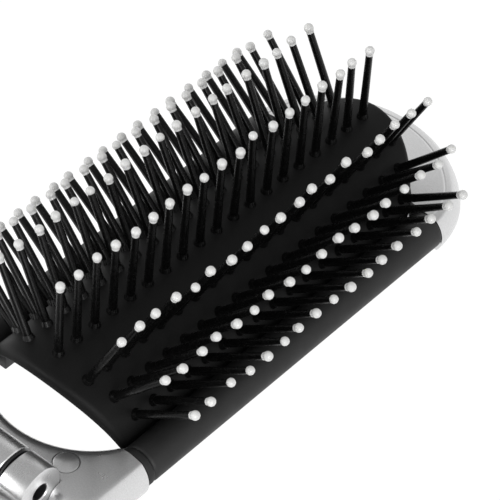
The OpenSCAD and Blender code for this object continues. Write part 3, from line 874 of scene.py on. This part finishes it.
def nose_skin(s):
    """The nose at the free end: a rounded rim, a fine line and a top that rises to the pad."""
    corner_steps, front_steps, edge_steps, top_steps = 14, 34, 40, 5
    # How far the crease reaches in, how far the top's inner edge falls, and where that starts
    crease_in, edge_drop, edge_start = 1.75 * MM, 0.3 * MM, 0.97
    end, far = FRAME_HIGH.y, GRIP_HIGH.y + HAIRLINE
    cy, cx = end - s.nose_r, HALF_W - s.nose_corner_r
    ncy = cy + sqrt((s.nose_r - s.nose_corner_r) ** 2 - cx * cx)
    meet = atan2(ncy - cy, cx)
    outline = []
    for x0, y0, r, a, b, steps in (
        (cx, ncy, s.nose_corner_r, 0, meet, corner_steps),
        (0, cy, s.nose_r, meet, pi - meet, front_steps),
        (-cx, ncy, s.nose_corner_r, pi - meet, pi, corner_steps),
    ):
        points = arc(x0, y0, r, a, b, steps)
        outline += [(Vector(p), (Vector(p) - Vector((x0, y0))).normalized()) for p in points]
    r = s.pad_far_r + HAIRLINE
    mid = PAD_HIGH.y - s.pad_far_r
    a = asin((far - mid) / r)
    edge = spread(arc(0, mid, r, a, pi - a, edge_steps), len(outline))

    def height(d):
        return s.nose_rim + s.nose_rise * d

    side = edge_section(s, height(crease_in))
    rings = []
    for (p, out), inner in zip(outline, edge):
        ring = [(p.x - out.x * d, p.y - out.y * d, z) for d, z in side]
        # The fine line, with the rim's top on either side of it
        for step, drop in ((-2, 0), (-1, 0), (0, s.line_d), (1, 0), (2.5, 0)):
            d = s.rim_line + step * s.line_w
            ring.append((p.x - out.x * d, p.y - out.y * d, height(d) - drop))
        start = Vector(ring[-1][:2])
        for k in range(1, top_steps + 1):
            place = start.lerp(inner, edge_start * k / top_steps)
            ring.append((place.x, place.y, height((p - place).length)))
        for z in (height((p - inner).length) - edge_drop, FLOOR_TOP - MM, 0):
            ring.append((inner.x, inner.y, z))
        rings.append(ring)
    return Skin().loft(rings).mesh("nose_skin")


def tray_skin(s, h):
    """The floor under the pad: two ledges for its feet, with a window and a mouth between."""
    screw_y = COVER_SCREW_HIGH.y - h.screw_head_r
    low, high = COVER_HIGH.z + HAIRLINE, FLOOR_TOP - HAIRLINE
    mouth, far = COVER_LOW.y, GRIP_HIGH.y - MM
    near = pad_near_y(PAD_HIGH.x, s.pad_near_r) + MM
    boxes = [
        (s.mouth_half, RAIL_X, near, far),
        (-RAIL_X, -s.mouth_half, near, far),
        (-s.mouth_half, s.mouth_half, mouth, -screw_y),
        (s.window_half, s.mouth_half, -screw_y, screw_y),
        (-s.mouth_half, -s.window_half, -screw_y, screw_y),
        (-s.mouth_half, s.mouth_half, screw_y, far),
    ]
    skin = Skin()
    for x0, x1, y0, y1 in boxes:
        skin.prism([(x0, y0), (x1, y0), (x1, y1), (x0, y1)], low, high)
    return skin.mesh("tray_skin", bevel=0.2 * MM)


def grip_skin(s, side):
    """A soft rail with a collar at its hinge end and rounded at its free end."""
    low, high, r, dip = GRIP_LOW.y, GRIP_HIGH.y, RAIL_R, s.collar_dip
    hem, run, points = 0.5 * MM, 10, 48
    collar = low + s.collar_w
    start = collar + 5 * SOFT
    profile = [
        (low, r - hem), (low + SOFT, r - SOFT), (low + hem, r), (collar - SOFT, r),
        (collar, r - SOFT), (collar + SOFT, r - dip), (collar + 2 * SOFT, r - dip),
        (collar + 3 * SOFT, r - SOFT), (start, r),
    ]
    profile += [(start + (high - hem - start) * i / run, r) for i in range(1, run + 1)]
    profile += [(high - SOFT, r - SOFT), (high, r - hem)]
    rings = [
        [(side * RAIL_X + x, y, RAIL_R + z) for x, z in circle(0, 0, size, points)]
        for y, size in profile
    ]
    return Skin().loft(rings).mesh("grip_skin")


def cover_screw_spots(h):
    """Place and turn of the back cover's screws, each cross at an angle of its own."""
    x, y = COVER_SCREW_HIGH.x - h.screw_head_r, COVER_SCREW_HIGH.y - h.screw_head_r
    return [
        ((i * x, j * y, COVER_SCREW_LOW.z), (0, 0, 0.4 + i + 2 * j))
        for i in (-1, 1) for j in (-1, 1)
    ]


def cover_skin(s, h):
    """The back cover, with a soft edge and a pocket for each screw."""
    end_steps, pocket_points = 36, 32
    half, near = COVER_HIGH.x, COVER_LOW.y
    mid = PAD_HIGH.y - s.pad_far_r
    r = COVER_HIGH.y - mid
    a = acos(half / r)
    outline = [(half, near)] + arc(0, mid, r, a, pi - a, end_steps) + [(-half, near)]
    plate = Skin().prism(outline, COVER_LOW.z, COVER_HIGH.z).mesh("cover_skin", s.cover_edge)
    pockets = Skin()
    levels = [(h.screw_head_r + LOOSE, z) for z in (-MM, h.screw_head_h + LOOSE)]
    for (x, y, _), _ in cover_screw_spots(h):
        pockets.column(x, y, levels, pocket_points)
    return cut(plate, pockets.mesh("screw_pockets"))


def pin_rows(s):
    """For each row its tilt, the free length of its pins and their places along it."""
    rows = []
    for row in ROWS:
        low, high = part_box(f"ball_tips_{row}")
        count = round((high.y - low.y - 2 * BALL_R) / s.pitch) + 1
        x = (low.x + high.x) / 2
        z = high.z - BALL_R - PAD_AXIS_Z
        places = [low.y + BALL_R + s.pitch * i for i in range(count)]
        rows.append((atan2(x, z), hypot(x, z) - PAD_R, places))
    return rows


def pin_spots(s):
    """Place and turn of every pin from its foot in the pad to its tip, and the pins' length."""
    rows = pin_rows(s)
    outer, free = rows[0][:2]
    start, end = PAD_R - s.sink, PAD_R + free
    spots = []
    for tilt, _, places in rows:
        foot = tilt * (1 + s.splay * (tilt / outer) ** 4)
        x, z = start * sin(foot), start * cos(foot)
        turn = atan2(end * sin(tilt) - x, end * cos(tilt) - z)
        spots += [((x, y, PAD_AXIS_Z + z), (0, turn, 0)) for y in places]
    return spots, free + s.sink


def strip_skin(s, pad_t):
    """The strips under the pad that the rows of pins are moulded on."""
    skin = Skin()
    top, w = PAD_R - pad_t - LOOSE, s.strip_w / 2
    corners = (-w, top - s.strip_t), (w, top - s.strip_t), (w, top), (-w, top)
    axis = Vector((0, 0, PAD_AXIS_Z))
    for tilt, _, places in pin_rows(s):
        turn = Matrix.Rotation(tilt, 3, "Y")
        skin.loft([
            [turn @ Vector((x, y, r)) + axis for x, r in corners]
            for y in (places[0] - w, places[-1] + w)
        ])
    return skin.mesh("strip_skin")


# Shapes of the hinge and the case


def wave(turn, h):
    """How far a detent wave stands out at an angle round the hinge, from 0 to 1."""
    return 0.5 - 0.5 * cos(h.waves * turn)


def ear_skin(h):
    """The outer barrels of the hinge, each with a bore and a waved inner face."""
    bore, r, end = HINGE_PIN_R + HAIRLINE, BARREL_R, BARREL_HALF
    bevel, middle = h.bevel, ROUND_IN * h.bevel

    def section(turn):
        face = EAR_IN + h.wave * wave(turn, h)
        return [
            (bore, face), (r - SOFT, face), (r, face + SOFT), (r, end - bevel),
            (r - middle, end - middle), (r - bevel, end), (bore + SOFT, end), (bore, end - SOFT),
        ]

    return Skin().lathe(section).mirrored().mesh("ear_skin")


def neck_skin(h):
    """The gussets that carry the ears."""
    back, y, z, r = YOKE_FRONT - HAIRLINE, HINGE.y, HINGE.z, BARREL_R
    # From the side: up the yoke, through the barrel in shares of its radius, and back down
    outline = [
        (back, 0), (back, FRAME_TOP - HAIRLINE), (y + 0.5 * r, z - 0.2 * r),
        (y - 0.2 * r, z - 0.6 * r), (y - 0.74 * r, z - 0.65 * r), (y, 0),
    ]
    necks = Skin().prism(outline, EAR_IN + h.wave, BARREL_HALF - h.neck_inset, axis="X")
    return necks.mirrored().mesh("neck_skin", bevel=h.neck_bevel)


def plate_skin(s, h):
    """The bracket's plate, let into the back of the yoke."""
    steps = 32
    centre, r = yoke_centre(s), s.yoke_inner_r + s.bridge_w / 4
    front, back, half = YOKE_FRONT - MM, BRACKET_HIGH.y, h.plate_half
    outline = [(-half, front), (half, front)]
    for i in range(steps + 1):
        x = half * (1 - 2 * i / steps)
        outline.append((x, min(back, centre.y - sqrt(r * r - x * x))))
    return Skin().prism(outline, 0, h.plate_t).mesh("plate_skin", bevel=0.25 * MM)


def plug_skin(h):
    """The plugs over the bracket's screws."""
    skin = Skin()
    low, high, edge, middle = PLUG_LOW.z, PLUG_HIGH.z, h.plug_edge, ROUND_IN * h.plug_edge
    for x, y, r in plug_places():
        skin.column(x, y, (
            (r, low), (r, high - edge), (r - middle, high - middle), (r - edge, high)))
    return skin.mesh("plug_skin")


def hinge_pin_skin():
    """The hinge pin, chamfered at both ends."""
    half, r, edge = HINGE_PIN_HIGH.x, HINGE_PIN_R, 0.3 * MM
    rings = [
        [(x, y, z) for y, z in circle(HINGE.y, HINGE.z, size)]
        for x, size in ((-half, r - edge), (-half + edge, r), (half - edge, r), (half, r - edge))
    ]
    return Skin().loft(rings).mesh("hinge_pin_skin")


def washer_skin():
    """The two washers between the ears and the knuckle, and thin dark tubes in the bores beyond the
    pin's ends that paint the shade there.
    """
    washer_points = 56
    bore, r = HINGE_PIN_R + HAIRLINE, BARREL_R - 0.4 * MM
    low, high = KNUCKLE_HALF + HAIRLINE, WASHER_HIGH.x
    washer = [
        (bore, low), (r - HAIRLINE, low), (r, (low + high) / 2), (r - HAIRLINE, high), (bore, high),
    ]
    # A thin dark tube along each bore, beyond the pin's end: painted shade in the bore
    inner, outer = HINGE_PIN_R - LOOSE, HINGE_PIN_R
    start, end = HINGE_PIN_HIGH.x + HAIRLINE, BARREL_HALF - 0.2 * MM
    painted_bore_shade = [(inner, start), (outer, start), (outer, end), (inner, end)]
    skin = Skin().lathe(lambda turn: washer, washer_points).lathe(lambda turn: painted_bore_shade, DISC_POINTS)
    return skin.mirrored().mesh("washer_skin")


def knuckle_skin(h):
    """The handle's knuckle: a waved barrel, and the web and flange that carry it."""
    bore, r = (BUSH_HIGH.z - BUSH_LOW.z) / 2 + HAIRLINE, BARREL_R

    def section(turn):
        face = KNUCKLE_HALF - h.wave * (1 - wave(turn, h))
        return [
            (bore, -face), (r - SOFT, -face), (r, SOFT - face),
            (r, face - SOFT), (r - SOFT, face), (bore, face),
        ]

    barrel = Skin().lathe(section).mesh("knuckle_barrel")
    wall, low, rim = KNUCKLE_LOW.y, KNUCKLE_LOW.z, SHELL_HIGH.z
    # From the side: along the case's rim, down the flange, and a slope back up to the barrel
    outline = [
        (HINGE.y - bore, rim), (wall, rim), (wall, low), (wall + h.flange_t, low),
        (wall + h.flange_t, HINGE.z - 2 * r), (HINGE.y - 0.2 * r, HINGE.z - 0.92 * r),
        (HINGE.y - bore, HINGE.z - 0.5 * r),
    ]
    half = KNUCKLE_HALF - h.wave - LOOSE
    web = Skin().prism(outline, -half, half, axis="X")
    return join("knuckle_skin", barrel, web.mesh("knuckle_web", bevel=0.5 * MM, segments=3))


def boat_ring(half, near, far, near_r, far_r, z):
    """The case seen from above at one height, as a ring of points."""
    corner_steps = 14
    ring = []
    for x, y, r, start in (
        (half - far_r, far + far_r, far_r, -90), (half - near_r, near - near_r, near_r, 0),
        (near_r - half, near - near_r, near_r, 90), (far_r - half, far + far_r, far_r, 180),
    ):
        corner = arc(x, y, r, radians(start), radians(start + 90), corner_steps)
        ring += [(px, py, z) for px, py in corner]
    return ring


def boat_levels(half, near, far, edge, near_r, far_r, near_edge, bottom, top):
    """Rings of a boat-shaped wall from its flat bottom up to a height."""
    curve, rise = 18, 4
    heights = [(edge * (1 - sin(t)), bottom + edge * (1 - cos(t))) for t in quarter(curve)]
    straight = top - bottom - edge
    heights += [(0.0, bottom + edge + straight * i / rise) for i in range(1, rise + 1)]
    rings = []
    for inset, z in heights:
        left = bottom + near_edge - z
        pull = near_edge - sqrt(near_edge ** 2 - left ** 2) if left > 0 else 0.0
        rings.append(boat_ring(
            half - inset, near - pull, far + inset, max(near_r - inset, near_edge),
            max(far_r - inset, near_edge / 2), z))
    return rings


def boat_skin(name, low, high, wall, c, shrink, lip):
    """A closed boat-shaped wall with a rolled rim, shrunk from the shell's outer form."""
    least_edge, lip_turns = 0.6 * MM, quarter(4)

    def levels(inset, top):
        grown = shrink + inset
        return boat_levels(
            high.x - inset, high.y - inset, low.y + inset, c.edge_r - grown, c.near_r - grown,
            c.far_r - grown, max(c.near_edge - grown, least_edge), low.z + inset, top)

    def rim(inset, z):
        grown = shrink + inset
        return boat_ring(
            high.x - inset, high.y - inset, low.y + inset, c.near_r - grown, c.far_r - grown, z)

    rings = levels(0.0, high.z - lip)
    for t in lip_turns[1:]:
        rings.append(rim(lip * (1 - cos(t)), high.z - lip * (1 - sin(t))))
    for t in lip_turns[:-1]:
        inset = wall - lip * (1 - sin(t)) * (wall - lip) / wall
        rings.append(rim(inset, high.z - lip * (1 - cos(t))))
    rings += levels(wall, high.z - lip)[::-1]
    return Skin().loft(rings).mesh(name)


def handle_screw_spots(h):
    """Place and turn of the screws through the case's wall."""
    low, high, r = HANDLE_SCREW_LOW, HANDLE_SCREW_HIGH, h.screw_head_r
    return [
        ((side * (high.x - r), low.y, z), (-pi / 2, 0, 0))
        for side in (-1, 1) for z in (low.z + r, high.z - r)
    ]


def screws(name, spots, reach, h):
    """A group of screws as one mesh."""
    return screw_tree().run(
        name, spots, Head=h.screw_head_r, Height=h.screw_head_h, Shank=h.screw_shank_r,
        Reach=reach - SHANK_START * h.screw_head_h, Drive=h.drive_w, Depth=h.drive_h,
        Material=finish("steel"))


# Operators


class BRUSH_OT_pad(bpy.types.Operator):
    """Make the arched pad"""

    bl_idname = "brush.pad"
    bl_label = "Pad"

    def execute(self, context):
        mesh = pad_skin(context.scene.brush_head)
        piece("pad_skin", mesh, "head", "pad_rubber", "pin_pad", crisp=radians(50))
        return {"FINISHED"}


class BRUSH_OT_frame(bpy.types.Operator):
    """Make the silver frame and the tray under the pad"""

    bl_idname = "brush.frame"
    bl_label = "Frame"

    def execute(self, context):
        s, h = context.scene.brush_head, context.scene.brush_hinge
        mesh = join("frame_skin", yoke_skin(s, h), nose_skin(s))
        piece("frame_skin", mesh, "head", "silver_paint", "head_frame")
        piece("tray_skin", tray_skin(s, h), "head", "dark_plastic", "head_frame")
        return {"FINISHED"}


class BRUSH_OT_grips(bpy.types.Operator):
    """Make the two soft side rails"""

    bl_idname = "brush.grips"
    bl_label = "Side rails"

    def execute(self, context):
        for side, name in ((1, "right"), (-1, "left")):
            mesh = grip_skin(context.scene.brush_head, side)
            piece(f"grip_{name}", mesh, "head", "soft_grip", f"side_grip_{name}")
        return {"FINISHED"}


class BRUSH_OT_pins(bpy.types.Operator):
    """Plant the rows of pins and their tips"""

    bl_idname = "brush.pins"
    bl_label = "Pins"

    def execute(self, context):
        s = context.scene.brush_pins
        spots, reach = pin_spots(s)
        tree = pin_tree()
        sizes = dict(
            Length=reach, Foot=s.foot_r, End=s.end_r, Boss=s.boss_r, Height=s.boss_h,
            Tip=s.tip_r, Neck=s.neck_h, Bite=s.tip_r / 3, Lean=s.lean, Seed=s.seed,
        )
        pins = tree.run(
            "pins", spots, Tips=False, Vary=0.0, Material=finish("pin_nylon"), **sizes)
        tips = tree.run(
            "tips", spots, Tips=True, Vary=s.tip_vary, Material=finish("tip_resin"), **sizes)
        pins = join("pins", pins, strip_skin(s, context.scene.brush_head.pad_t))
        piece("pins", pins, "head", "pin_nylon", *[f"pin_row_{i}" for i in ROWS])
        piece("tips", tips, "head", "tip_resin", *[f"ball_tips_{i}" for i in ROWS],
              crisp=radians(60))
        return {"FINISHED"}


class BRUSH_OT_back(bpy.types.Operator):
    """Make the back cover and its screws"""

    bl_idname = "brush.back"
    bl_label = "Back cover"

    def execute(self, context):
        s, h = context.scene.brush_head, context.scene.brush_hinge
        piece("cover_skin", cover_skin(s, h), "head", "silver_paint", "back_cover")
        reach = COVER_SCREW_HIGH.z - COVER_SCREW_LOW.z
        mesh = screws("cover_screw_set", cover_screw_spots(h), reach, h)
        piece("cover_screw_set", mesh, "head", "steel", "cover_screws")
        return {"FINISHED"}


class BRUSH_OT_hinge(bpy.types.Operator):
    """Make the hinge: bracket, plugs, pin, washers and knuckle"""

    bl_idname = "brush.hinge"
    bl_label = "Hinge"

    def execute(self, context):
        s, h = context.scene.brush_head, context.scene.brush_hinge
        bracket = join("bracket_skin", ear_skin(h), neck_skin(h), plate_skin(s, h))
        piece("bracket_skin", bracket, "head", "silver_paint", "hinge_bracket")
        piece("plug_skin", plug_skin(h), "head", "silver_paint", "screw_plugs")
        # The hinge pin is darkened to paint the shade in the ears' bores
        piece("hinge_pin_skin", hinge_pin_skin(), "head", "dark_steel", "hinge_pin", slot="steel")
        # This piece also holds the dark tubes in the bores, which paint the shade there
        piece("washer_skin", washer_skin(), "head", "dark_plastic", "detent_washers")
        piece("knuckle_skin", knuckle_skin(h), "handle", "silver_paint", "handle_knuckle")
        return {"FINISHED"}


class BRUSH_OT_case(bpy.types.Operator):
    """Make the handle's shell, its liner and its screws"""

    bl_idname = "brush.case"
    bl_label = "Case handle"

    def execute(self, context):
        c, h = context.scene.brush_case, context.scene.brush_hinge
        shell = boat_skin("shell_skin", SHELL_LOW, SHELL_HIGH, c.shell_t, c, 0.0, c.lip)
        piece("shell_skin", shell, "handle", "silver_paint", "handle_shell")
        shrink = SHELL_HIGH.x - LINER_HIGH.x
        liner = boat_skin("liner_skin", LINER_LOW, LINER_HIGH, c.liner_t, c, shrink, 0.7 * c.lip)
        piece("liner_skin", liner, "handle", "dark_plastic", "handle_liner")
        reach = HANDLE_SCREW_HIGH.y - HANDLE_SCREW_LOW.y
        mesh = screws("handle_screw_set", handle_screw_spots(h), reach, h)
        piece("handle_screw_set", mesh, "handle", "steel", "handle_screws")
        return {"FINISHED"}


class BRUSH_OT_inside(bpy.types.Operator):
    """Give the hidden inner parts their finishes"""

    bl_idname = "brush.inside"
    bl_label = "Inner parts"

    def execute(self, context):
        for node, look in (
            ("pad_carrier", "dark_plastic"), ("bracket_screws", "steel"),
            ("knuckle_bush", "bush_nylon"),
        ):
            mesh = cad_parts[node].data
            mesh.materials.clear()
            mesh.materials.append(finish(look))
        return {"FINISHED"}


class BRUSH_OT_stage(bpy.types.Operator):
    """Set the camera, the floor and the lights"""

    bl_idname = "brush.stage"
    bl_label = "Stage"

    # Name, size and place of each soft box
    LAMPS = (
        ("key", 0.30, (0.45, -0.36, 0.16)),
        ("top", 0.45, (0.02, -0.12, 0.62)),
        ("fill", 0.30, (-0.26, -0.51, 0.16)),
    )
    # Between these heights, on a globe from -1 to 1, the white walls turn to the grey ceiling
    WALL_END, CEILING_START = 0.45, 0.8
    FLOOR_HALF, FLOOR_GREY, FLOOR_ROUGH = 3.0, 0.9, 0.9

    def execute(self, context):
        scene, s = context.scene, context.scene.brush_stage
        camera = bpy.data.cameras.new("camera")
        camera.sensor_width, camera.lens = 36.0, s.lens
        camera.clip_start, camera.clip_end = 0.01, 50.0
        view = bpy.data.objects.new("camera", camera)
        view.location, view.rotation_euler = s.camera_place, Euler(s.camera_turn)
        scene.collection.objects.link(view)
        scene.camera = view
        scene.view_settings.view_transform = "Standard"
        self.lights(scene, s)
        self.studio(scene, s)
        self.floor(scene, s)
        return {"FINISHED"}

    def lights(self, scene, s):
        """Three soft boxes; the silver doesn't mirror the one above."""
        for name, size, place in self.LAMPS:
            lamp = bpy.data.lights.new(name, "AREA")
            lamp.energy, lamp.size = getattr(s, name), size
            obj = bpy.data.objects.new(name, lamp)
            obj.location = place
            obj.visible_glossy = name != "top"
            obj.rotation_euler = (-Vector(place)).to_track_quat("-Z", "Y").to_euler()
            scene.collection.objects.link(obj)

    def studio(self, scene, s):
        """A world of white walls under a grey ceiling."""
        world = bpy.data.worlds.new("studio")
        scene.world = world
        world.use_nodes = True
        nodes = Nodes(world.node_tree)
        level = nodes.add(
            "ShaderNodeMapRange", Value=self.seen(nodes), To_Min=s.ambient, To_Max=1.0)
        place = nodes.add("ShaderNodeTexCoord", out="Generated")
        wall = nodes.add(
            "ShaderNodeMapRange", settings={"interpolation_type": "SMOOTHSTEP"},
            Value=nodes.add("ShaderNodeSeparateXYZ", out="Z", Vector=place),
            From_Min=self.WALL_END, From_Max=self.CEILING_START, To_Min=1.0, To_Max=s.ceiling)
        back = nodes.tree.nodes["Background"].inputs
        nodes.put(back["Color"], (1, 1, 1, 1))
        nodes.put(back["Strength"], nodes.times(level, wall))

    def seen(self, nodes):
        """1 where a surface is seen directly, in a mirror or through glass."""
        path = nodes.tree.nodes.new("ShaderNodeLightPath").outputs
        seen = nodes.maths("MAXIMUM", path["Is Camera Ray"], path["Is Glossy Ray"])
        return nodes.maths("MAXIMUM", seen, path["Is Transmission Ray"])

    def floor(self, scene, s):
        """A white floor under the case that keeps a soft share of the shadow."""
        z, half, grey = CAD_BOX[0][2] - LOOSE, self.FLOOR_HALF, self.FLOOR_GREY
        corners = [(-half, -half, z), (half, -half, z), (half, half, z), (-half, half, z)]
        mesh = bpy.data.meshes.new("floor")
        mesh.from_pydata(corners, [], [(0, 1, 2, 3)])
        obj = bpy.data.objects.new("floor", mesh)
        scene.collection.objects.link(obj)
        material = bpy.data.materials.new("white_floor")
        material.use_nodes = True
        nodes = Nodes(material.node_tree)
        matt = nodes.tree.nodes["Principled BSDF"]
        nodes.put(matt.inputs["Base Color"], (grey, grey, grey, 1))
        nodes.put(matt.inputs["Roughness"], self.FLOOR_ROUGH)
        white = nodes.times(self.seen(nodes), 1 - s.shadow)
        glow = nodes.add("ShaderNodeEmission", Strength=s.glow)
        mix = nodes.tree.nodes.new("ShaderNodeMixShader")
        for socket, value in zip(mix.inputs, (white, matt.outputs["BSDF"], glow)):
            nodes.put(socket, value)
        nodes.put(nodes.tree.nodes["Material Output"].inputs["Surface"], mix.outputs["Shader"])
        mesh.materials.append(material)


class BRUSH_PT_parts(bpy.types.Panel):
    """Lists the pieces of the brush"""

    bl_idname = "BRUSH_PT_parts"
    bl_label = "Folding hair brush"
    bl_space_type = "VIEW_3D"
    bl_region_type = "UI"
    bl_category = "Brush"

    def draw(self, context):
        for step in STEPS:
            self.layout.operator(step.bl_idname)


STEPS = (
    BRUSH_OT_stage, BRUSH_OT_pad, BRUSH_OT_frame, BRUSH_OT_grips, BRUSH_OT_pins,
    BRUSH_OT_back, BRUSH_OT_hinge, BRUSH_OT_case, BRUSH_OT_inside,
)
SETTINGS = {
    "brush_pins": BrushPinSizes, "brush_head": BrushHeadSizes, "brush_hinge": BrushHingeSizes,
    "brush_case": BrushCaseSizes, "brush_finishes": BrushFinishes, "brush_stage": BrushStage,
}


def register():
    """Add the classes and their settings to Blender."""
    for group in (*SETTINGS.values(), *STEPS, BRUSH_PT_parts):
        bpy.utils.register_class(group)
    for name, group in SETTINGS.items():
        setattr(bpy.types.Scene, name, PointerProperty(type=group))


def unregister():
    """Take them out again."""
    for name in SETTINGS:
        delattr(bpy.types.Scene, name)
    for group in (BRUSH_PT_parts, *STEPS[::-1], *list(SETTINGS.values())[::-1]):
        bpy.utils.unregister_class(group)


def main():
    """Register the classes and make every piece."""
    register()
    for step in STEPS:
        family, name = step.bl_idname.split(".")
        getattr(getattr(bpy.ops, family), name)()


if __name__ == "__main__":
    main()
